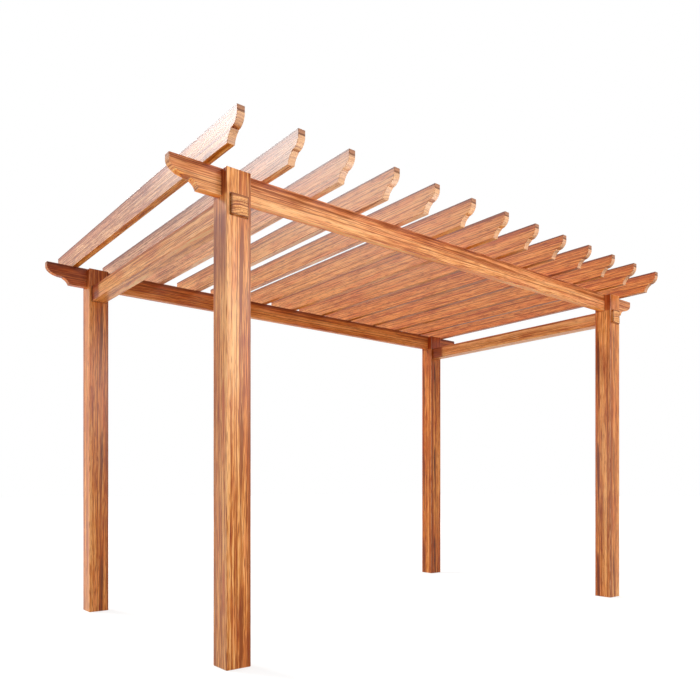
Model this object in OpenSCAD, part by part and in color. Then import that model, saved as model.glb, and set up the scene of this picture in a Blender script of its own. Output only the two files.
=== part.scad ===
// Open timber pergola on four square posts. Two long beams lie in slots in the
// post heads, two side ties pass through the posts just under the beams, and
// thirteen rafters with scrolled ends lie across the beams.
// X runs along the beams, Y along the rafters, Z up from the floor.

/* [Posts] */
// Width and depth of a square post
post_side = 150; // [130:1:200]
// Distance between post centres along the beams
span_x = 3830; // [2400:10:5000]
// Distance between post centres along the rafters
span_y = 2200; // [1500:10:3500]
// Thickness of the cheek in front of a beam
front_cheek = 60; // [40:1:80]
// How far the post heads stop below the top of the beams
head_drop = 8; // [0:1:30]

/* [Beams] */
// Height of the underside of the beams above the floor
beam_base = 2564; // [2000:1:3000]
// Height of a beam on edge
beam_height = 148; // [120:1:250]
// Thickness of a beam
beam_thick = 50; // [38:1:70]
// Overhang of beams and rafters beyond the faces of the posts
overhang = 300; // [250:5:500]

/* [Beam ends] */
// Upright part of the nose of a beam
beam_nose = 31; // [15:1:60]
// Length of the round under the nose of a beam
beam_round_length = 122; // [60:1:160]
// Height of the round under the nose of a beam
beam_round_drop = 66; // [30:1:80]
// Length of the hollow behind the round of a beam
beam_hollow_length = 45; // [20:1:80]

/* [Ties] */
// Width of a side tie
tie_width = 106; // [60:1:130]
// Height of a side tie
tie_height = 114; // [80:1:160]
// How far the ends of a tie stand out of the posts
tie_reach = 16; // [0:1:60]

/* [Rafters] */
// Thickness of a rafter
rafter_thick = 45; // [35:1:70]
// Height of a rafter on edge
rafter_height = 156; // [120:1:250]
// How far the centre of an end rafter lies beyond the outer face of the posts
end_offset = 85; // [40:1:200]
// Spacing from each end rafter to its neighbour
end_pitch = 365; // [250:1:450]

/* [Rafter ends] */
// Upright part of the nose of a rafter
rafter_nose = 34; // [15:1:60]
// Length of the round under the nose of a rafter
rafter_round_length = 60; // [30:1:120]
// Height of the round under the nose of a rafter
rafter_round_drop = 61; // [30:1:80]
// Length of the hollow behind the round of a rafter
rafter_hollow_length = 39; // [20:1:80]

/* [Fits and curves] */
// Gap on each side of a beam in its slot
slot_gap = 0.5; // [0:0.1:3]
// Gap on each side of a tie in its mortise
mortise_gap = 0.5; // [0:0.1:3]
// Upright step between the round and the hollow
scroll_step = 5; // [2:1:12]
// Depth of the hollow, measured from its chord
hollow_depth = 8; // [3:1:14]

/* [Hidden] */
post_colour = [0.80, 0.48, 0.25];
beam_colour = [0.84, 0.54, 0.30];
rafter_colour = [0.82, 0.56, 0.36];

round_steps = 12;
hollow_steps = 8;
inner_steps = 5;
cut_over = 10;

half_x = span_x / 2;
half_y = span_y / 2;
half_side = post_side / 2;
post_height = beam_base + beam_height - head_drop;
beam_length = span_x + post_side + 2 * overhang;
rafter_length = span_y + post_side + 2 * overhang;
rafter_base = beam_base + beam_height;
tie_base = beam_base - tie_height;
tie_length = span_y + post_side + 2 * tie_reach;
slot_width = beam_thick + 2 * slot_gap;
slot_front = front_cheek - half_side;
beam_face = slot_front + slot_gap;
mortise_width = tie_width + 2 * mortise_gap;
end_x = half_x + half_side + end_offset;
inner_x = end_x - end_pitch;
inner_pitch = inner_x / inner_steps;

// Points along the round, as distance from the tip and depth below the top.
function round_points(nose, length, drop) = [
    for (i = [0 : round_steps])
        let (a = 90 * i / round_steps)
        [length * (1 - cos(a)), nose + drop * sin(a)]
];

// Points along a hollow arc from p to q, with the given depth from its chord.
function hollow_points(p, q, depth) =
    let (
        d = q - p,
        chord = norm(d),
        u = d / chord,
        n = [-u[1], u[0]],
        r = (chord * chord / 4 + depth * depth) / (2 * depth),
        c = (p + q) / 2 + n * (r - depth),
        half = asin(chord / 2 / r)
    )
    [
        for (i = [0 : hollow_steps])
            let (a = half * (2 * i / hollow_steps - 1))
            c - n * r * cos(a) + u * r * sin(a)
    ];

// Outline of one scrolled end, from the top corner down to the bottom edge.
function scroll_points(height, nose, length, drop, hollow) = concat(
    [[0, 0]],
    round_points(nose, length, drop),
    hollow_points(
        [length, nose + drop + scroll_step],
        [length + hollow, height],
        hollow_depth
    )
);

// Side of a timber with the same scroll at both ends, resting on the X axis.
module scrolled_side(length, height, ends) {
    left = [for (p = ends) [p[0] - length / 2, height - p[1]]];
    right = [
        for (i = [len(ends) - 1 : -1 : 0])
            [length / 2 - ends[i][0], height - ends[i][1]]
    ];
    polygon(concat(left, right));
}

module post(x, y) {
    color(post_colour)
    translate([x, y, 0])
    difference() {
        translate([-half_side, -half_side, 0])
            cube([post_side, post_side, post_height]);
        translate([-half_side - cut_over, slot_front, beam_base])
            cube([post_side + 2 * cut_over, slot_width, beam_height + cut_over]);
        translate([-mortise_width / 2, -half_side - cut_over, tie_base])
            cube([mortise_width, post_side + 2 * cut_over, tie_height]);
    }
}

module beam(y) {
    color(beam_colour)
    translate([0, y + beam_face + beam_thick, beam_base])
    rotate([90, 0, 0])
    linear_extrude(height = beam_thick)
        scrolled_side(
            beam_length,
            beam_height,
            scroll_points(
                beam_height,
                beam_nose,
                beam_round_length,
                beam_round_drop,
                beam_hollow_length
            )
        );
}

module tie(x) {
    color(beam_colour)
    translate([x - tie_width / 2, -tie_length / 2, tie_base])
        cube([tie_width, tie_length, tie_height]);
}

module rafter(x) {
    color(rafter_colour)
    translate([x - rafter_thick / 2, 0, rafter_base])
    rotate([90, 0, 90])
    linear_extrude(height = rafter_thick)
        scrolled_side(
            rafter_length,
            rafter_height,
            scroll_points(
                rafter_height,
                rafter_nose,
                rafter_round_length,
                rafter_round_drop,
                rafter_hollow_length
            )
        );
}

module post_front_left() post(-half_x, -half_y);
module post_front_right() post(half_x, -half_y);
module post_back_left() post(-half_x, half_y);
module post_back_right() post(half_x, half_y);
module beam_front() beam(-half_y);
module beam_back() beam(half_y);
module tie_left() tie(-half_x);
module tie_right() tie(half_x);
module rafter_01() rafter(-end_x);
module rafter_02() rafter(-5 * inner_pitch);
module rafter_03() rafter(-4 * inner_pitch);
module rafter_04() rafter(-3 * inner_pitch);
module rafter_05() rafter(-2 * inner_pitch);
module rafter_06() rafter(-inner_pitch);
module rafter_07() rafter(0);
module rafter_08() rafter(inner_pitch);
module rafter_09() rafter(2 * inner_pitch);
module rafter_10() rafter(3 * inner_pitch);
module rafter_11() rafter(4 * inner_pitch);
module rafter_12() rafter(5 * inner_pitch);
module rafter_13() rafter(end_x);

post_front_left();
post_front_right();
post_back_left();
post_back_right();
beam_front();
beam_back();
tie_left();
tie_right();
rafter_01();
rafter_02();
rafter_03();
rafter_04();
rafter_05();
rafter_06();
rafter_07();
rafter_08();
rafter_09();
rafter_10();
rafter_11();
rafter_12();
rafter_13();
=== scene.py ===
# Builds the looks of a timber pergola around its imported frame: eased, scrolled timbers in varnished cedar.
import math
from functools import partial
from types import SimpleNamespace

import bpy
import numpy as np
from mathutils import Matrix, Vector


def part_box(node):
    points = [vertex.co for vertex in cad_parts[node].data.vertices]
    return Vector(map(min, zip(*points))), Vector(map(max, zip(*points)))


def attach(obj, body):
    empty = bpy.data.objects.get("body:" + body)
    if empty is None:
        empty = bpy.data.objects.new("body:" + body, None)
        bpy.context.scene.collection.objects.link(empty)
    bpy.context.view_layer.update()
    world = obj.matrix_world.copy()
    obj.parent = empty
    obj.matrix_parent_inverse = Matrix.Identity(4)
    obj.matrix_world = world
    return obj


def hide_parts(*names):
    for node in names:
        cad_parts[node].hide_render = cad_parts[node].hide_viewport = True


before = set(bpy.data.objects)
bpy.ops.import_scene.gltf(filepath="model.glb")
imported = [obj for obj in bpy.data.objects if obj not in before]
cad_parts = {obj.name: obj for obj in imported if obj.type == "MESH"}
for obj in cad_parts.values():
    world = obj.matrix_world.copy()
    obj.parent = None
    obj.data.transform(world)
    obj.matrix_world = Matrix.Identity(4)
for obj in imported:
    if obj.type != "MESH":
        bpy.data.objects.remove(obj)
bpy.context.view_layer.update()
print("frame loaded:", len(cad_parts), "timbers")


def linearFromHex(code):  # sRGB hex to the linear numbers that shaders work in
    value = np.array([int(code[i:i + 2], 16) for i in (1, 3, 5)]) / 255
    low = value / 12.92
    high = ((value + 0.055) / 1.055) ** 2.4
    return (*np.where(value <= 0.04045, low, high).tolist(), 1.0)


# Adds a node with its settings and its inputs, given in order or as one dictionary. Returns one of its
# outputs, or with output=None all of them.
def addNode(tree, kind, settings, *inputs, output=0):
    node = tree.nodes.new("ShaderNode" + kind)
    for key, setting in settings.items():
        setattr(node, key, setting)
    given = inputs[0] if inputs and isinstance(inputs[0], dict) else dict(enumerate(inputs))
    for socket, source in given.items():
        if isinstance(source, bpy.types.NodeSocket):
            tree.links.new(source, node.inputs[socket])
        else:
            node.inputs[socket].default_value = source
    return node.outputs if output is None else node.outputs[output]


# Settings that many nodes share.
plus, minus, times = {"operation": "ADD"}, {"operation": "SUBTRACT"}, {"operation": "MULTIPLY"}
timesPlus, dividedBy = {"operation": "MULTIPLY_ADD"}, {"operation": "DIVIDE"}
larger, smaller = {"operation": "MAXIMUM"}, {"operation": "MINIMUM"}
unsigned, length = {"operation": "ABSOLUTE"}, {"operation": "LENGTH"}
smooth = {"interpolation_type": "SMOOTHSTEP"}
alongRadius = {"noise_dimensions": "1D"}
laid = {"data_type": "RGBA", "clamp_factor": True}
stained = {"data_type": "RGBA", "clamp_factor": True, "blend_type": "MULTIPLY"}
by, ground, coat, mixed = 0, 6, 7, 2  # sockets of a Mix node of colours


def emptyMaterial(name):
    material = bpy.data.materials.new(name)
    material.use_nodes = True
    material.node_tree.nodes.clear()
    return material, material.node_tree


# Cedar heartwood, planed and varnished: pale orange early wood, red-brown late wood, long wavering growth
# lines, short dark fibres and heart streaks that taper at both ends, under a varnish that pales at low
# angles. Fibres and lines are drawn two to three times as coarse as real ones, which at 1 to 2 mm would be
# too fine to show. Widths run across the grain and lengths along it, in metres.
cedar = {
    "tones": [(0.14, "#7A2600"), (0.25, "#8C3608"), (0.37, "#A85515"), (0.50, "#CA7830"), (0.60, "#DE9249"),
              (0.68, "#EAA45C"), (0.80, "#F4B776")],
    "colours": {
        "streak": "#8C440E",
        "edge": "#74300E",
        "deep": "#7C3608",
        "red": "#B24F20",
        "fibreDark": "#8E4216",
        "rosy": "#F2D6CC",
        "heart": "#E4B88E",
        "redder": "#FADEB8",
        "endGrain": "#DAB291",
        "stain": "#86482C",
        # painted shadow on the left sides of posts and ties
        "damp": "#B07C64",
        # painted shade for post heads beside the beam and for the back beam's tips
        "headSide": "#C07058",
        # dark joints, also used for painted contact shade round the tie ends
        "joint": "#5A2A12",
        "worn": "#EFBE92",
        "lateDark": "#8E4410",
    },
    "lineWidth": 0.008,
    "lateWidth": 0.013,
    "bandWidth": 0.040,
    "bandLength": 1.10,
    "fibreWidth": 0.0046,
    "fibreLength": 0.085,
    "hairWidth": 0.0035,
    "hairLength": 0.18,
    "rosyWidth": 0.05,
    "rosyLength": 0.45,
    "rosyDepth": 0.75,
    "ring": 1.8,  # how much growth lines add on end grain
    "waver": 0.010,
    "waverWidth": 0.10,
    "waverLength": 0.80,
    "heartWaver": 1.2,
    "streakWaver": 0.4,
    "fray": 0.016,
    "fibresIn": (1.2, 0.3),  # how strongly the fibres break up a streak, and what is left between them
    "greySaturation": 0.45,
    "greyValue": 1.02,
    "brightFrom": (1.3, 1.5),
    "underFullness": 1.05,
    "arris": (0.007, 0.0014),
    "wornOffEnd": (0.5, 0.0, 0.2, 1.0),
    "hairRough": 0.16,
    "endRough": 0.25,
    "wornRough": 0.20,
    "hairHeight": 0.5,
    "fibreHeight": -0.4,
    "relief": 0.0004,
    "reliefStrength": 0.6,
    "index": 1.5,
}
paint = {key: linearFromHex(code) for key, code in cedar["colours"].items()}

# Noise values between which a pattern fades in.
fades = {"rosy": (0.47, 0.66), "fibre": (0.55, 0.70), "late": (0.57, 0.66), "hair": (0.30, 0.55),
         "worn": (0.62, 0.38)}

# Parts of a normal between which a face comes to count as an end, a side and so on.
facings = {"end": (0.20, 0.65), "side": (0.4, 0.6), "front": (0.2, 0.5), "left": (-0.5, -0.9),
           "under": (-0.3, -0.9)}

# A streak's outline in shares of its length, and its soft edge in shares of its half width.
streakShape = {"swelling": 0.30, "narrowing": 0.45, "edge": (1.3, 0.35), "fadeIn": (0.0, 0.06),
               "fadeOut": (1.0, 0.85)}
unbroken = {"start": 0.0, "period": 1.0, "length": 1.0, "rise": 0.0, "body": 9.0}  # a line that never ends


# Where a point lies in its timber, which way its face looks and how its grain runs there. Grain is read
# inside the log. "axes" names the object's axes that run across the thickness, up the height and along the
# grain. Attributes: "middle" is the timber's centre, "facing" which way round it was fixed, "pith" the way
# from the centre to the pith and "half" half its size, all in that order of axes. The board attribute is how
# much paler and how much redder (or below 0, greyer) this timber is than most, in part painted light and
# shade for how light falls on it, and how bright its underside is made, which is painted light.
def readTimber(add, kind):
    def reordered(source):
        parts = add("SeparateXYZ", {}, source, output=None)
        return add("CombineXYZ", {}, *[parts[axis] for axis in kind["axes"]])

    def stretchedNoise(source, key, detail, rough, lift, output="Fac"):
        width, reach = cedar[key + "Width"], cedar[key + "Length"]
        scaled = add("VectorMath", timesPlus, source, (1 / width, 1 / width, 1 / reach), (lift, lift, lift))
        return add("TexNoise", {}, {"Vector": scaled, "Scale": 1.0, "Detail": detail, "Roughness": rough},
                   output=output)

    told = {key: add("Attribute", {"attribute_name": key}, output="Vector")
            for key in ("middle", "half", "pith", "facing", "board")}
    place = add("TexCoord", {}, output=None)
    centred = add("VectorMath", minus, reordered(place["Object"]), told["middle"])
    inTimber = add("VectorMath", times, centred, told["facing"])
    inLog = add("VectorMath", minus, inTimber, told["pith"])
    wood = SimpleNamespace(object=place["Object"], centred=centred, half=told["half"])
    wood.fromMiddle = add("SeparateXYZ", {}, centred, output=None)
    wood.inside = add("SeparateXYZ", {}, inTimber, output=None)
    wood.board = add("SeparateXYZ", {}, told["board"], output=None)

    # Growth lines: noise over the distance from the pith, which wavers slowly along the log.
    waver = cedar["waver"]
    sway = stretchedNoise(inLog, "waver", 2.0, 0.5, 0.0, "Color")
    shift = add("VectorMath", timesPlus, sway, (2 * waver, 2 * waver, 0), (-waver, -waver, 0))
    wood.drift = add("SeparateXYZ", {}, shift, output=None)
    swayed = add("VectorMath", plus, inLog, shift)
    radius = add("VectorMath", length, add("VectorMath", times, swayed, (1, 1, 0)), output="Value")
    inLines = add("Math", dividedBy, radius, cedar["lineWidth"])
    wood.line = add("TexNoise", alongRadius, {"W": inLines, "Scale": 1.0, "Detail": 2.0, "Roughness": 0.6})
    inLate = add("Math", dividedBy, radius, cedar["lateWidth"])
    wood.late = add("TexNoise", alongRadius, {"W": inLate, "Scale": 1.0, "Detail": 1.0, "Roughness": 0.5})
    wood.band = stretchedNoise(swayed, "band", 2.0, 0.5, 7.3)
    wood.fibre = stretchedNoise(swayed, "fibre", 1.0, 0.5, 1.7)
    wood.hair = stretchedNoise(swayed, "hair", 2.0, 0.6, 5.1)
    wood.rosy = stretchedNoise(swayed, "rosy", 2.0, 0.5, 3.9)
    wood.fray = add("Math", timesPlus, wood.hair, cedar["fray"], -cedar["fray"] / 2)
    wood.calm = 1.0
    if "head" in kind:  # a post's head is clear, even wood
        head = kind["head"]
        wood.calm = add("MapRange", smooth, wood.inside["Z"], -head["start"], head["fade"] - head["start"],
                        head["calm"], 1.0)

    # Which way a face looks, in the order of the timber's axes and, for "outward", of the object's own.
    normal = add("SeparateXYZ", {}, reordered(place["Normal"]), output=None)
    wood.isEnd = add("MapRange", smooth, add("Math", unsigned, normal["Z"]), *facings["end"])
    wood.onSide = add("MapRange", smooth, add("Math", unsigned, normal["X"]), *facings["side"])
    wood.onFront = add("MapRange", smooth, add("Math", unsigned, normal["Y"]), *facings["front"])
    outward = add("SeparateXYZ", {}, place["Normal"], output=None)
    wood.onLeft = add("MapRange", smooth, outward["X"], *facings["left"])
    wood.isUnder = add("MapRange", smooth, outward["Z"], *facings["under"])
    return wood


# Tone runs from 0 in late wood to 1 in early wood, and growth lines are strongest on end grain. Rosy patches,
# short dark fibres and dark late wood are laid over it.
def clearWood(add, kind, wood):
    grain = kind["grain"]
    middling = grain["paleness"] - (grain["line"] + grain["hair"]) / 2
    tone = add("Math", timesPlus, wood.line, grain["line"], middling)
    rings = add("Math", timesPlus, wood.line, cedar["ring"], -cedar["ring"] / 2)
    tone = add("Math", timesPlus, wood.isEnd, rings, tone)
    bands = add("Math", timesPlus, wood.band, grain["band"], -grain["band"] / 2)
    tone = add("Math", plus, add("Math", times, bands, wood.calm), tone)
    tone = add("Math", timesPlus, wood.hair, grain["hair"], tone)
    tone = add("Math", plus, tone, wood.board["X"])
    if "bleach" in kind:  # painted sheen: front ends paler, most on the timbers with bright undersides
        bleach = kind["bleach"]
        paler = add("MapRange", smooth, wood.board["Z"], *bleach["boards"], 0.0, bleach["paler"])
        inObject = add("SeparateXYZ", {}, wood.object, output=None)
        toFront = add("MapRange", smooth, inObject[kind["axes"][2]], *bleach["ends"])
        tone = add("Math", timesPlus, toFront, paler, tone)
    colour = add("ValToRGB", {}, tone)
    ramp = colour.node.color_ramp.elements
    while len(ramp) < len(cedar["tones"]):
        ramp.new(0.5)
    for element, (position, code) in zip(ramp, cedar["tones"]):
        element.position = position
        element.color = linearFromHex(code)

    amount = add("MapRange", smooth, wood.rosy, *fades["rosy"], 0.0, cedar["rosyDepth"])
    colour = add("Mix", stained, {by: amount, ground: colour, coat: paint["rosy"]}, output=mixed)
    amount = add("MapRange", smooth, wood.fibre, *fades["fibre"], 0.0, grain["fibre"])
    colour = add("Mix", laid, {by: amount, ground: colour, coat: paint["fibreDark"]}, output=mixed)
    amount = add("Math", times, add("MapRange", smooth, wood.late, *fades["late"]),
                 add("MapRange", smooth, wood.hair, *fades["hair"], 0.0, grain["late"]))
    amount = add("Math", times, amount, wood.calm)
    return add("Mix", laid, {by: amount, ground: colour, coat: paint["lateDark"]}, output=mixed)


# The heart side of each face is redder, frayed by the fibres, and each board is redder or greyer as a whole,
# partly as painted shade and painted sheen.
def heartSide(add, kind, wood, colour):
    crossing, rising = [
        add("Math", plus, add("Math", timesPlus, wood.drift[axis], cedar["heartWaver"], wood.inside[axis]),
            wood.fray)
        for axis in "XY"]
    heartward = add("Math", timesPlus, wood.onSide, add("Math", minus, rising, crossing), crossing)
    amount = add("Math", times, add("MapRange", smooth, heartward, *kind["heart"]), wood.calm)
    if "sideHeart" in kind:  # differs from one side to the other
        weight = add("MapRange", smooth, wood.inside["X"], *kind["sideHeart"])
        weight = add("Math", timesPlus, wood.onSide, add("Math", minus, weight, 1.0), 1.0)
        amount = add("Math", times, amount, weight)
    if "flatHeart" in kind:  # weaker above and below than on the sides
        weight = add("MapRange", smooth, wood.onSide, 0.0, 1.0, kind["flatHeart"], 1.0)
        amount = add("Math", times, amount, weight)
    redness = wood.board["Y"]
    colour = add("Mix", stained, {by: amount, ground: colour, coat: paint["heart"]}, output=mixed)
    colour = add("Mix", stained, {by: redness, ground: colour, coat: paint["redder"]}, output=mixed)
    greyer = add("Math", times, add("MapRange", smooth, redness, 0.0, -1.0), wood.onSide)
    return add("HueSaturation", {}, {"Fac": greyer, "Saturation": cedar["greySaturation"],
                                     "Value": cedar["greyValue"], "Color": colour})


# A streak that returns every "period" along the timber. Over the first "body" share of its length it is a
# lens, then a thin tail. Its middle line is place + rise * share squared + wave * sine squared of half a
# turn.
def grainMark(add, across, along, mark):
    shifted = add("Math", timesPlus, along, 1 / mark["period"], -mark["start"] / mark["period"])
    turn = add("Math", {"operation": "FRACT"}, shifted)
    share = add("Math", times, turn, mark["period"] / mark["length"])
    middle = add("Math", timesPlus, add("Math", times, share, share), mark["rise"], mark["place"])
    if "wave" in mark:
        half = add("Math", {"operation": "SINE"}, add("Math", times, turn, math.pi))
        middle = add("Math", timesPlus, add("Math", times, half, half), mark["wave"], middle)
    body = mark.get("body", 1.0)
    swelling = add("MapRange", smooth, share, 0.0, streakShape["swelling"] * body)
    narrowing = add("MapRange", smooth, share, body, streakShape["narrowing"] * body)
    halfWidth = add("Math", timesPlus, add("Math", times, swelling, narrowing), mark["width"], mark["tail"])
    near = add("Math", dividedBy, add("Math", unsigned, add("Math", minus, across, middle)), halfWidth)
    depth = add("MapRange", smooth, near, *streakShape["edge"], 0.0, mark["depth"])
    if mark["length"] < mark["period"]:
        depth = add("Math", times, depth, add("MapRange", smooth, share, *streakShape["fadeOut"]))
        depth = add("Math", times, depth, add("MapRange", smooth, share, *streakShape["fadeIn"]))
    return depth


# The heart streaks, broken up by the fibres.
def heartStreaks(add, kind, wood, colour):
    for mark in kind["marks"]:
        axis = mark["axis"]
        waver = mark.get("sway", cedar["streakWaver"])
        across = add("Math", timesPlus, wood.drift[axis], waver, wood.inside[axis])
        amount = grainMark(add, add("Math", plus, across, wood.fray), wood.inside["Z"], mark)
        amount = add("Math", times, amount, add("Math", timesPlus, wood.fibre, *cedar["fibresIn"]))
        if "redder" in mark:  # only as far as the board is redder
            amount = add("Math", times, amount, wood.board["Y"])
        if "side" in mark:  # shows on one face of a pair, or with 0 on both
            other = wood.inside["Y" if axis == "X" else "X"]
            if mark["side"]:
                toFace = add("Math", times, other, mark["side"])
            else:
                toFace = add("Math", unsigned, other)
            amount = add("Math", times, amount, add("MapRange", smooth, toFace, *kind["atFace"]))
        colour = add("Mix", laid, {by: amount, ground: colour, coat: paint[mark["colour"]]}, output=mixed)
    return colour


# Darker places, nearly all painted shade: heads of posts beside the beam, painted shadows on the left sides
# of posts and ties, tips of the back beam, and a dark line round the ties that is painted contact shade as
# well as joint dirt. The painted-shadow attribute is where a painted shadow on the timber's left side starts
# and ends along it, and how dark it is.
def darkPlaces(add, kind, wood, colour):
    height, redness = wood.fromMiddle["Z"], wood.board["Y"]
    # Painted shade: a post's head is darkened on its sides beside the beam, where the beam end shades it, and
    # all over in step with the board's redness, highest on the back posts
    if "head" in kind:  # its sides, beside the beam, and all of it on redder boards
        head = kind["head"]
        atHead = add("MapRange", smooth, height, *[head["start"] + edge for edge in head["edge"]])
        shaded = add("Math", larger, add("Math", times, wood.onSide, head["sides"]),
                     add("Math", times, redness, head["redder"]))
        amount = add("Math", times, atHead, shaded)
        colour = add("Mix", stained, {by: amount, ground: colour, coat: paint["headSide"]}, output=mixed)
    # Painted shadow: a darker stretch of the left side where rafters, beam ends and posts cast their shadows,
    # with ragged ends
    if "dampEdge" in kind:
        ragged, fadeIn, fadeOut = kind["dampEdge"]
        damp = add("Attribute", {"attribute_name": "damp"}, output="Vector")
        damp = add("SeparateXYZ", {}, damp, output=None)
        along = add("Math", timesPlus, wood.hair, ragged, add("Math", minus, height, ragged / 2))
        started = add("MapRange", smooth, add("Math", minus, along, damp["X"]), 0.0, fadeIn)
        going = add("MapRange", smooth, add("Math", minus, damp["Y"], along), 0.0, fadeOut)
        amount = add("Math", times, add("Math", times, started, going),
                     add("Math", times, damp["Z"], wood.onLeft))
        colour = add("Mix", stained, {by: amount, ground: colour, coat: paint["damp"]}, output=mixed)
    # Painted shade: the redder beam's ends outside the posts are darkened as if shaded by the rafters and the
    # front beam
    if "darkTips" in kind:  # the redder board is darker outside the posts
        amount = add("MapRange", smooth, add("Math", unsigned, height), *kind["darkTips"])
        amount = add("Math", times, amount, redness)
        colour = add("Mix", stained, {by: amount, ground: colour, coat: paint["headSide"]}, output=mixed)
    # Painted contact shade as well as joint dirt: a dark line round the tie where it comes out of the post
    if "joint" in kind:  # dark line where a tie comes out of the post
        joint = kind["joint"]
        beside = add("Math", minus, add("Math", unsigned, wood.inside["X"]), joint["half"])
        beyond = add("Math", larger, add("Math", minus, joint["low"], height),
                     add("Math", minus, height, joint["high"]))
        gap = add("MapRange", smooth, add("Math", larger, beside, beyond), *joint["line"], 0.0,
                  joint["depth"])
        amount = add("Math", times, gap, wood.onFront)
        colour = add("Mix", laid, {by: amount, ground: colour, coat: paint["joint"]}, output=mixed)
    return colour


# End grain is paler; its top, open to the rain, is stained, down to a dark line where the water runs off.
def endGrain(add, kind, wood, colour):
    amount = add("Math", times, wood.isEnd, kind["endMix"])
    colour = add("Mix", laid, {by: amount, ground: colour, coat: paint["endGrain"]}, output=mixed)
    if "stain" in kind:
        stain = kind["stain"]
        half = add("SeparateXYZ", {}, wood.half, output=None)
        below = add("Math", minus, half["Y"], wood.inside["Y"])
        wet = add("MapRange", smooth, add("Math", timesPlus, wood.fibre, stain["ragged"], below),
                  stain["deep"] + stain["ragged"], stain["deep"])
        amount = add("Math", times, add("Math", times, wet, wood.isEnd), stain["mix"])
        colour = add("Mix", laid, {by: amount, ground: colour, coat: paint["stain"]}, output=mixed)
        away = add("Math", unsigned, add("Math", minus, below, stain["deep"]))
        runOff = add("MapRange", smooth, away, *stain["runOff"], 0.0, stain["runOffMix"])
        amount = add("Math", times, runOff, wood.isEnd)
        colour = add("Mix", laid, {by: amount, ground: colour, coat: paint["joint"]}, output=mixed)
    return colour


# Painted light on undersides: they are brightened by the board's underside value, and their colour stays
# full, except where that value is high.
def paintedUndersideLight(add, kind, wood, colour):
    light = wood.board["Z"]
    full = add("MapRange", smooth, light, *cedar["brightFrom"], cedar["underFullness"],
               kind["brightFullness"])
    return add("HueSaturation", {}, {"Fac": wood.isUnder, "Saturation": full, "Value": light,
                                     "Color": colour})


# Arrises, where two faces meet and the varnish is rubbed thin: the second smallest distance to a face is
# small. Also gives how worn a place is.
def wornArrises(add, kind, wood, colour):
    depths = add("VectorMath", minus, wood.half, add("VectorMath", unsigned, wood.centred))
    depths = add("SeparateXYZ", {}, depths, output=None)
    lower = add("Math", smaller, depths["X"], depths["Y"])
    upper = add("Math", smaller, add("Math", larger, depths["X"], depths["Y"]), depths["Z"])
    arris = add("MapRange", smooth, add("Math", larger, lower, upper), *cedar["arris"])
    worn = add("Math", times, arris, add("MapRange", smooth, wood.fibre, *fades["worn"], 0.0, kind["worn"]))
    worn = add("Math", times, worn, add("MapRange", smooth, wood.isEnd, *cedar["wornOffEnd"]))
    colour = add("Mix", laid, {by: worn, ground: colour, coat: paint["worn"]}, output=mixed)
    if "endRim" in kind:  # painted shade along the edges of the ends
        rim = kind["endRim"]
        amount = add("Math", times, add("MapRange", smooth, lower, *rim["across"]),
                     add("MapRange", smooth, depths["Z"], *rim["along"]))
        amount = add("Math", times, amount, rim["depth"])
        colour = add("Mix", laid, {by: amount, ground: colour, coat: paint["joint"]}, output=mixed)
    return colour, worn


# Wood, from its clear grain to its wear, under a varnish that is rougher on end grain and on worn arrises.
def cedarMaterial(name, kind):
    material, tree = emptyMaterial(name)
    add = partial(addNode, tree)
    wood = readTimber(add, kind)
    colour = clearWood(add, kind, wood)
    for layer in (heartSide, heartStreaks, darkPlaces, endGrain, paintedUndersideLight):
        colour = layer(add, kind, wood, colour)
    colour, worn = wornArrises(add, kind, wood, colour)

    rough = add("Math", timesPlus, wood.isEnd, cedar["endRough"], kind["roughness"] - cedar["hairRough"] / 2)
    rough = add("Math", timesPlus, wood.hair, cedar["hairRough"], rough)
    rough = add("Math", timesPlus, worn, cedar["wornRough"], rough)
    height = add("Math", times, wood.fibre, cedar["fibreHeight"])
    height = add("Math", timesPlus, wood.hair, cedar["hairHeight"], height)
    relief = add("Bump", {}, {"Strength": cedar["reliefStrength"], "Distance": cedar["relief"],
                              "Height": height})
    varnished = add("BsdfPrincipled", {}, {"Base Color": colour, "Roughness": rough, "IOR": cedar["index"],
                                           "Specular IOR Level": kind["gloss"], "Normal": relief})
    add("OutputMaterial", {}, varnished, output=None)
    return material


quarter = math.pi / 2
easing = {"steps": 3, "sharperThan": math.radians(30)}


# Closed surface, its arrises eased by a bevel, with the attributes that its wood reads. "slide" moves the
# marks along the timber.
def finishTimber(node, points, faces, kind, pith, board, facing=(1, 1, 1), slide=0.0, damp=(0, 0, 0)):
    mesh = bpy.data.meshes.new(node + "_timber")
    mesh.from_pydata(points.tolist(), [], faces)
    low, high = (np.array(corner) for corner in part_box(node))
    order = ["XYZ".index(axis) for axis in kind["axes"]]
    told = {
        "middle": (low + high)[order] / 2 + (0, 0, slide),
        "half": (high - low)[order] / 2 + (0, 0, abs(slide)),
        "pith": pith,
        "facing": facing,
        "damp": damp,
        "board": board,
    }
    for key, value in told.items():
        layer = mesh.attributes.new(key, "FLOAT_VECTOR", "POINT")
        layer.data.foreach_set("vector", np.tile(np.array(value, np.float32), len(mesh.vertices)))
    mesh.polygons.foreach_set("use_smooth", np.ones(len(mesh.polygons), bool))
    mesh.materials.append(kind["material"])
    piece = bpy.data.objects.new(node + "_timber", mesh)
    bpy.context.scene.collection.objects.link(piece)
    bevel = piece.modifiers.new("easedArrises", "BEVEL")
    bevel.width = kind["easedEdge"]
    bevel.segments = easing["steps"]
    bevel.limit_method = "ANGLE"
    bevel.angle_limit = easing["sharperThan"]
    bevel.harden_normals = True
    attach(piece, "root")
    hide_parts(node)


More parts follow.
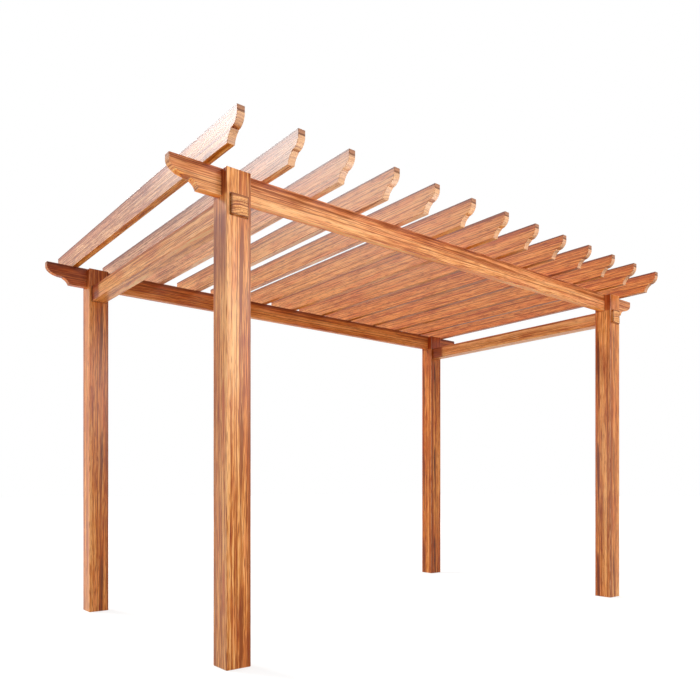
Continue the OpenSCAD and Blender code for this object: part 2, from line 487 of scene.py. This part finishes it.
# A block on a grid of slabs: planes across X, Y and Z cut it into cells, each filled or empty, and a face
# stands wherever a filled cell meets an empty one.
def cellSurface(planes, filled):
    grid = np.stack(np.meshgrid(*planes, indexing="ij"), axis=-1)
    ids = np.arange(grid[..., 0].size).reshape(grid.shape[:3])
    padded = np.pad(filled.astype(int), 1)
    quads = []
    for axis in range(3):
        order = (axis, (axis + 1) % 3, (axis + 2) % 3)
        step = np.diff(padded.transpose(order), axis=0)[:, 1:-1, 1:-1]
        corner = ids.transpose(order)
        i, j, k = np.nonzero(step)
        quad = [corner[i, j, k], corner[i, j + 1, k], corner[i, j + 1, k + 1], corner[i, j, k + 1]]
        quad = np.stack(quad, 1)
        entering = step[i, j, k] > 0
        quad[entering] = quad[entering][:, ::-1]
        quads.append(quad)
    used, faces = np.unique(np.concatenate(quads), return_inverse=True)
    return grid.reshape(-1, 3)[used], faces.reshape(-1, 4).tolist()


# Outline of one scrolled end, as distance from the tip and depth below the top: an upright nose, a quarter
# ellipse, a small step and a hollow arc whose depth is its sagitta.
def scrolledEnd(height, end):
    a = np.linspace(0, quarter, end["roundSteps"] + 1)
    bulge = np.stack([end["roundLength"] * (1 - np.cos(a)), end["nose"] + end["roundDrop"] * np.sin(a)], 1)
    p = np.array([end["roundLength"], end["nose"] + end["roundDrop"] + end["step"]])
    q = np.array([end["roundLength"] + end["hollowLength"], height])
    chord = np.linalg.norm(q - p)
    u = (q - p) / chord
    n = np.array([-u[1], u[0]])
    r = (chord ** 2 / 4 + end["hollowDepth"] ** 2) / (2 * end["hollowDepth"])
    centre = (p + q) / 2 + n * (r - end["hollowDepth"])
    b = math.asin(chord / 2 / r) * np.linspace(-1, 1, end["hollowSteps"] + 1)[:, None]
    hollow = centre - n * r * np.cos(b) + u * r * np.sin(b)
    return np.concatenate([[[0, 0]], bulge, hollow])


# Side outline carried straight across the thickness of the timber.
def scrolledTimber(low, high, lengthAxis, end):
    tip = scrolledEnd(high[2] - low[2], end)
    left = np.stack([low[lengthAxis] + tip[:, 0], high[2] - tip[:, 1]], 1)
    right = np.stack([high[lengthAxis] - tip[::-1, 0], high[2] - tip[::-1, 1]], 1)
    outline = np.concatenate([left, right])
    count = len(outline)
    widthAxis = 1 - lengthAxis
    points = np.zeros((2 * count, 3))
    points[:, lengthAxis] = np.tile(outline[:, 0], 2)
    points[:, 2] = np.tile(outline[:, 1], 2)
    points[:, widthAxis] = np.repeat([low[widthAxis], high[widthAxis]], count)
    i = np.arange(count)
    j = (i + 1) % count
    rim = np.stack([i, j, j + count, i + count], 1)
    if lengthAxis == 0:
        rim = rim[:, ::-1]
        sides = [i, i[::-1] + count]
    else:
        sides = [i[::-1], i + count]
    return points, [*rim.tolist(), *[side.tolist() for side in sides]]


luck = np.random.default_rng(41)
logPart = (0, 9)  # metres of log in which a timber's grain starts somewhere

# Posts: square, with a slot for the beam and a mortise for the tie. The right-hand ones are fixed turned
# round. Heights in the wood are counted from the middle of a post.
postLow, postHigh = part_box("post_front_left")
tieLow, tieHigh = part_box("tie_left")
postMiddle = (postLow[2] + postHigh[2]) / 2
tieBottom, tieTop = tieLow[2] - postMiddle, tieHigh[2] - postMiddle
postShape = {
    "slot": "post_wood",
    "axes": "XYZ",
    "easedEdge": 0.004,
    "fitGap": 0.0005,
    "pith": (0.21, 0.24, 0.0),
    "pithPlay": (-0.015, 0.015),
    "roughness": 0.32,
    "gloss": 0.31,
    "grain": {"paleness": 0.580, "line": 0.80, "band": 1.05, "hair": 1.45, "fibre": 0.75, "late": 0.75},
    "heart": (0.020, 0.072, 0.0, 0.62),
    "sideHeart": (-0.02, 0.02, 0.35, 1.5),
    # calm gives clear wood at the head; edge, sides and redder set the painted shade on the head
    "head": {"start": tieTop, "fade": 0.3, "calm": 0.35, "edge": (-0.012, 0.004), "sides": 0.65,
             "redder": 0.8},
    # dark line round the mortise: painted contact shade as well as joint dirt
    "joint": {"low": tieBottom, "high": tieTop, "line": (0.007, 0.0021), "depth": 0.85},
    "dampEdge": (0.08, 0.25, 0.05),
    "atFace": (0.062, 0.073),
    "brightFullness": 1.05,
    "worn": 0.40,
    "endMix": 0.50,
    # painted shadows on the front posts' left sides, cast by rafter 1 and the beam ends: start, end and
    # darkness
    "damp": {"post_front_left": (0.62, 1.14, 0.70), "post_front_right": (0.45, 0.92, 0.25)},
    # paleness, redness and underside light: the back posts' redness is partly painted shade, underside light
    # is painted
    "board": {"post_front_left": (-0.01, 0.0, 1.4), "post_front_right": (0.025, 0.35, 1.4),
              "post_back_left": (0.0, 0.6, 1.4), "post_back_right": (-0.03, 0.9, 1.4)},
    "marks": [
        {**unbroken, "axis": "X", "side": 0, "place": 0.070, "width": 0.004, "tail": 0.011, "depth": 0.9,
         "colour": "lateDark"},
        {"axis": "X", "side": 0, "place": 0.018, "start": -1.09, "period": 0.99, "length": 0.76,
         "width": 0.0105, "rise": -0.014, "body": 0.80, "tail": 0.0024, "depth": 1.0, "colour": "streak"},
        {"axis": "X", "side": 0, "place": 0.026, "start": -1.12, "period": 0.99, "length": 0.70,
         "width": 0.0075, "rise": -0.012, "body": 0.80, "tail": 0.0015, "depth": 1.2, "redder": True,
         "colour": "joint"},
        {"axis": "X", "side": 0, "place": 0.056, "start": -0.92, "period": 0.99, "length": 0.99,
         "width": 0.0010, "rise": 0.0, "wave": -0.010, "tail": 0.0024, "depth": 1.0, "colour": "streak"},
        {"axis": "Y", "side": -1, "place": -0.040, "start": -0.24, "period": 0.99, "length": 0.34,
         "width": 0.012, "rise": 0.004, "tail": 0.002, "depth": 0.75, "colour": "red"},
        {"axis": "Y", "side": -1, "place": 0.002, "start": -0.56, "period": 0.99, "length": 0.30,
         "width": 0.0035, "rise": 0.0, "tail": 0.001, "depth": 0.8, "colour": "streak"},
        {"axis": "Y", "side": 1, "place": 0.046, "start": -1.05, "period": 0.99, "length": 0.78,
         "width": 0.012, "rise": -0.016, "body": 0.80, "tail": 0.0026, "depth": 1.3, "colour": "edge"},
        {"axis": "Y", "side": 1, "place": 0.056, "start": -0.90, "period": 0.99, "length": 0.99,
         "width": 0.0010, "rise": 0.0, "wave": -0.010, "tail": 0.003, "depth": 1.1, "colour": "streak"},
        {**unbroken, "axis": "Y", "side": 1, "place": 0.074, "width": 0.006, "tail": 0.012, "depth": 0.75,
         "colour": "red"},
    ],
}
postShape["joint"]["half"] = (tieHigh[0] - tieLow[0]) / 2 + postShape["fitGap"]
postShape["material"] = cedarMaterial("varnishedCedarPosts", postShape)
for side in ("left", "right"):
    for row in ("front", "back"):
        node = f"post_{row}_{side}"
        low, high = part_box(node)
        beamLow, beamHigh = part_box(f"beam_{row}")
        tieLow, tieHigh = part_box(f"tie_{side}")
        gap = postShape["fitGap"]
        planes = [
            np.array([low[0], tieLow[0] - gap, tieHigh[0] + gap, high[0]]),
            np.array([low[1], beamLow[1] - gap, beamHigh[1] + gap, high[1]]),
            np.array([low[2], tieLow[2], beamLow[2], high[2]]),
        ]
        filled = np.ones((3, 3, 3), bool)
        filled[1, :, 1] = False  # mortise
        filled[:, 1, 2] = False  # slot
        points, faces = cellSurface(planes, filled)
        play = (*luck.uniform(*postShape["pithPlay"], 2), luck.uniform(*logPart))
        pith = np.add(postShape["pith"], play)
        facing = (1 if side == "left" else -1, 1, -1)
        finishTimber(node, points, faces, postShape, pith, postShape["board"][node], facing,
                     damp=postShape["damp"].get(node, (0, 0, 0)))
print("posts ready")

# Beams: long timbers on edge, scrolled at both ends.
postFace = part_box("post_front_right")[1][0]
beamShape = {
    "slot": "beam_wood",
    "axes": "YZX",
    "easedEdge": 0.003,
    "end": {"nose": 0.031, "roundLength": 0.122, "roundDrop": 0.066, "step": 0.005, "hollowLength": 0.045,
            "hollowDepth": 0.008, "roundSteps": 24, "hollowSteps": 16},
    "pithPlay": (-0.03, 0.03),
    "pithBelow": -0.20,
    "roughness": 0.42,
    "gloss": 0.33,
    "grain": {"paleness": 0.610, "line": 0.75, "band": 1.1, "hair": 1.35, "fibre": 0.60, "late": 0.65},
    "heart": (-0.014, 0.040, 0.0, 0.62),
    # painted shade on the back beam's overhanging ends
    "darkTips": (postFace - 0.03, postFace + 0.03, 0.0, 0.55),
    "brightFullness": 1.05,
    "worn": 0.42,
    "endMix": 0.25,
    # the back beam's redness is partly painted shade; underside light is painted
    "board": {"beam_front": (0.0, -0.16, 1.9), "beam_back": (0.02, 0.8, 1.4)},
    "marks": [
        {**unbroken, "axis": "Y", "place": 0.073, "width": 0.003, "tail": 0.006, "depth": 0.5,
         "colour": "red"},
        {**unbroken, "axis": "Y", "place": 0.061, "width": 0.0008, "tail": 0.0034, "sway": 0.1, "depth": 1.1,
         "colour": "edge"},
        {**unbroken, "axis": "Y", "place": 0.066, "width": 0.001, "tail": 0.0170, "sway": 0.2, "depth": 0.9,
         "redder": True, "colour": "edge"},
        {"axis": "Y", "place": 0.048, "start": -2.1, "period": 1.6, "length": 1.6, "width": 0.0010,
         "rise": 0.0, "wave": 0.006, "tail": 0.0026, "depth": 0.70, "colour": "streak"},
        {"axis": "Y", "place": 0.028, "start": -1.93, "period": 1.6, "length": 1.30, "width": 0.0075,
         "rise": -0.022, "body": 0.78, "tail": 0.0026, "depth": 1.05, "colour": "streak"},
        {"axis": "Y", "place": -0.026, "start": -1.60, "period": 0.75, "length": 0.34, "width": 0.0030,
         "rise": 0.002, "tail": 0.001, "depth": 0.6, "colour": "streak"},
    ],
}
beamShape["material"] = cedarMaterial("varnishedCedarBeams", beamShape)
for node in ("beam_front", "beam_back"):
    points, faces = scrolledTimber(*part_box(node), 0, beamShape["end"])
    pith = (luck.uniform(*beamShape["pithPlay"]), beamShape["pithBelow"], luck.uniform(*logPart))
    finishTimber(node, points, faces, beamShape, pith, beamShape["board"][node])
print("beams ready")

# Ties: plain squared timbers, their ends standing out of the posts.
tieShape = {
    "slot": "tie_wood",
    "axes": "XZY",
    "easedEdge": 0.003,
    "pithPlay": (-0.04, 0.04),
    "pithBelow": -0.266,
    "roughness": 0.40,
    "gloss": 0.33,
    "grain": {"paleness": 0.63, "line": 0.80, "band": 0.85, "hair": 1.3, "fibre": 0.60, "late": 0.80},
    # the heart band along the top of the tie sides is partly painted shade
    "heart": (0.034, 0.060, 0.0, 0.90),
    "flatHeart": 0.1,
    "dampEdge": (0.08, 0.04, 0.05),
    "brightFullness": 0.95,
    "worn": 0.06,
    "endMix": 0.10,
    # painted shade: a dark rim round the edges of the tie ends
    "endRim": {"across": (0.011, 0.004), "along": (0.012, 0.006), "depth": 0.60},
    # painted shadow on each tie's left side next to the back post, cast by that post
    "damp": (0.86, 1.2, 1.0),
    # paleness, redness and painted underside light
    "board": {"tie_left": (-0.01, -0.15, 1.4), "tie_right": (0.04, 0.0, 1.4)},
    "marks": [
        {**unbroken, "axis": "Y", "place": 0.060, "width": 0.003, "tail": 0.005, "depth": 0.7,
         "colour": "streak"},
        {"axis": "Y", "place": -0.034, "start": -0.4, "period": 1.30, "length": 0.60, "width": 0.004,
         "rise": 0.004, "tail": 0.0015, "depth": 0.4, "colour": "streak"},
    ],
}
tieShape["material"] = cedarMaterial("varnishedCedarTies", tieShape)
for node in ("tie_left", "tie_right"):
    points, faces = cellSurface(np.transpose(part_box(node)), np.ones((1, 1, 1), bool))
    pith = (luck.uniform(*tieShape["pithPlay"]), tieShape["pithBelow"], luck.uniform(*logPart))
    finishTimber(node, points, faces, tieShape, pith, tieShape["board"][node], damp=tieShape["damp"])
print("ties ready")

# Rafters: thirteen timbers on edge across the beams, scrolled at both ends. Paleness, redness and underside
# light are given for a few rafters, whose numbers come first, and run evenly between them. They are painted
# light and shade for how light falls across the roof: paler and greyer with painted sheen on the left,
# redder in painted shade on the right.
rafterShape = {
    "slot": "rafter_wood",
    "axes": "XZY",
    "easedEdge": 0.0025,
    "end": {"nose": 0.034, "roundLength": 0.060, "roundDrop": 0.061, "step": 0.005, "hollowLength": 0.039,
            "hollowDepth": 0.008, "roundSteps": 24, "hollowSteps": 16},
    "pithPlay": (-0.03, 0.03),
    "pithBelow": (-0.24, -0.17),
    "slide": (-0.3, 0.3),
    "roughness": 0.41,
    "gloss": 0.33,
    "grain": {"paleness": 0.605, "line": 0.95, "band": 0.60, "hair": 1.45, "fibre": 0.80, "late": 0.60},
    "heart": (0.015, 0.060, 0.0, 0.50),
    # painted sheen on the rafters' front ends
    "bleach": {"ends": (-1.10, -1.30), "boards": (1.2, 1.5), "paler": 0.07},
    "brightFullness": 0.82,
    "worn": 0.08,
    "endMix": 0.62,
    "stain": {"deep": 0.028, "ragged": 0.012, "mix": 0.60, "runOff": (0.008, 0.003), "runOffMix": 0.75},
    "paler": ([1, 2, 4, 7, 9], [-0.090, 0.015, 0.08, 0.07, 0.01]),
    "redder": ([1, 2, 4, 9, 13], [-0.38, -0.42, 0.0, 0.95, 1.0]),
    # painted light on each rafter's underside
    "brightUnder": ([1, 2, 3, 5, 6, 9], [1.15, 1.4, 1.5, 1.5, 1.35, 0.8]),
    "marks": [
        {**unbroken, "axis": "Y", "place": 0.0745, "width": 0.001, "tail": 0.0090, "sway": 0.1, "depth": 1.3,
         "colour": "edge"},
        {"axis": "Y", "place": 0.055, "start": -1.4, "period": 1.5, "length": 1.5, "width": 0.0008,
         "rise": 0.0, "wave": 0.006, "tail": 0.0018, "depth": 0.65, "colour": "deep"},
        {"axis": "Y", "place": 0.036, "start": -0.45, "period": 3.1, "length": 1.20, "width": 0.0048,
         "rise": -0.016, "body": 0.78, "tail": 0.0018, "depth": 0.8, "colour": "deep"},
        {"axis": "Y", "place": -0.030, "start": 0.1, "period": 0.80, "length": 0.40, "width": 0.0030,
         "rise": 0.002, "tail": 0.001, "depth": 0.6, "colour": "streak"},
    ],
}
rafterShape["material"] = cedarMaterial("varnishedCedarRafters", rafterShape)
for number in range(1, 14):
    node = f"rafter_{number:02d}"
    points, faces = scrolledTimber(*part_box(node), 1, rafterShape["end"])
    pith = [luck.uniform(*span) for span in (rafterShape["pithPlay"], rafterShape["pithBelow"], logPart)]
    board = [np.interp(number, *rafterShape[key]) for key in ("paler", "redder", "brightUnder")]
    finishTimber(node, points, faces, rafterShape, pith, board, slide=luck.uniform(*rafterShape["slide"]))
print("rafters ready")

studio = {
    "floorSize": 120.0,
    "floorAlbedo": "#9FA0A0",
    "floorGlow": 0.70,
    "floorFade": (5.0, 14.0),
    "worldLight": 0.30,
    "target": (0.0, 0.0, 1.8),
    "lamps": {  # place, radius, power
        "backLight": ((-3.72, 10.22, 10.73), 0.6, 710.0),
        "keyLight": ((-6.89, 8.82, 10.34), 2.0, 910.0),
        "leftLight": ((-7.5, 2.5, 1.5), 1.4, 166.0),
        "frontLeftLight": ((-1.8, -6.0, 2.4), 1.4, 119.0),
        "frontLight": ((1.2, -6.8, 3.5), 1.4, 159.0),
        "frontRightLight": ((3.6, -5.8, 2.6), 1.4, 44.0),
        "backRightLight": ((9.1, 5.26, 9.44), 3.5, 745.0),
    },
}


# Round lamp, turned to the target.
def areaLight(name, place, radius, power):
    data = bpy.data.lights.new(name, "AREA")
    data.shape = "DISK"
    data.size = 2 * radius
    data.energy = power
    lamp = bpy.data.objects.new(name, data)
    lamp.location = place
    aim = np.subtract(studio["target"], place)
    lamp.rotation_euler = (math.acos(-aim[2] / np.linalg.norm(aim)), 0, math.atan2(aim[1], aim[0]) - quarter)
    lamp.visible_camera = False
    bpy.context.scene.collection.objects.link(lamp)


for lampName, lampSettings in studio["lamps"].items():
    areaLight(lampName, *lampSettings)


def seenRays(tree):  # camera, glossy and transmission rays
    ray = addNode(tree, "LightPath", {}, output=None)
    mirrored = addNode(tree, "Math", larger, ray["Is Glossy Ray"], ray["Is Transmission Ray"])
    return addNode(tree, "Math", larger, ray["Is Camera Ray"], mirrored)


white = (1.0, 1.0, 1.0, 1.0)
world = bpy.data.worlds.new("studioWorld")
bpy.context.scene.world = world
world.use_nodes = True
sky = world.node_tree
sky.nodes.clear()
strength = addNode(sky, "MapRange", smooth, seenRays(sky), 0.0, 1.0, studio["worldLight"], 1.0)
addNode(sky, "OutputWorld", {}, addNode(sky, "Background", {}, white, strength), output=None)

# Matt plaster floor. It glows a little towards the camera and in gloss, and fades to the white surround away
# from the object.
plaster, tree = emptyMaterial("palePlaster")
matt = addNode(tree, "BsdfDiffuse", {}, linearFromHex(studio["floorAlbedo"]))
away = addNode(tree, "VectorMath", length, addNode(tree, "TexCoord", {}, output="Object"), output="Value")
level = addNode(tree, "MapRange", smooth, away, *studio["floorFade"], studio["floorGlow"], 1.0)
glow = addNode(tree, "Emission", {}, white, addNode(tree, "Math", times, level, seenRays(tree)))
addNode(tree, "OutputMaterial", {}, addNode(tree, "AddShader", {}, matt, glow), output=None)
half = studio["floorSize"] / 2
corners = [(-half, -half, 0), (half, -half, 0), (half, half, 0), (-half, half, 0)]
floorMesh = bpy.data.meshes.new("floor")
floorMesh.from_pydata(corners, [], [(0, 1, 2, 3)])
floorMesh.materials.append(plaster)
floor = bpy.data.objects.new("floor", floorMesh)
bpy.context.scene.collection.objects.link(floor)

view = {"place": (-3.7738, -4.4193, 0.986), "turn": -39.063, "lens": 35.056, "sensor": 36.0, "shiftY": 0.1954}
cameraData = bpy.data.cameras.new("camera")
cameraData.lens = view["lens"]
cameraData.sensor_width = view["sensor"]
cameraData.shift_y = view["shiftY"]
camera = bpy.data.objects.new("camera", cameraData)
camera.location = view["place"]
camera.rotation_euler = (quarter, 0, math.radians(view["turn"]))
bpy.context.scene.collection.objects.link(camera)
bpy.context.scene.camera = camera
bpy.context.scene.view_settings.view_transform = "Standard"
print("studio ready")
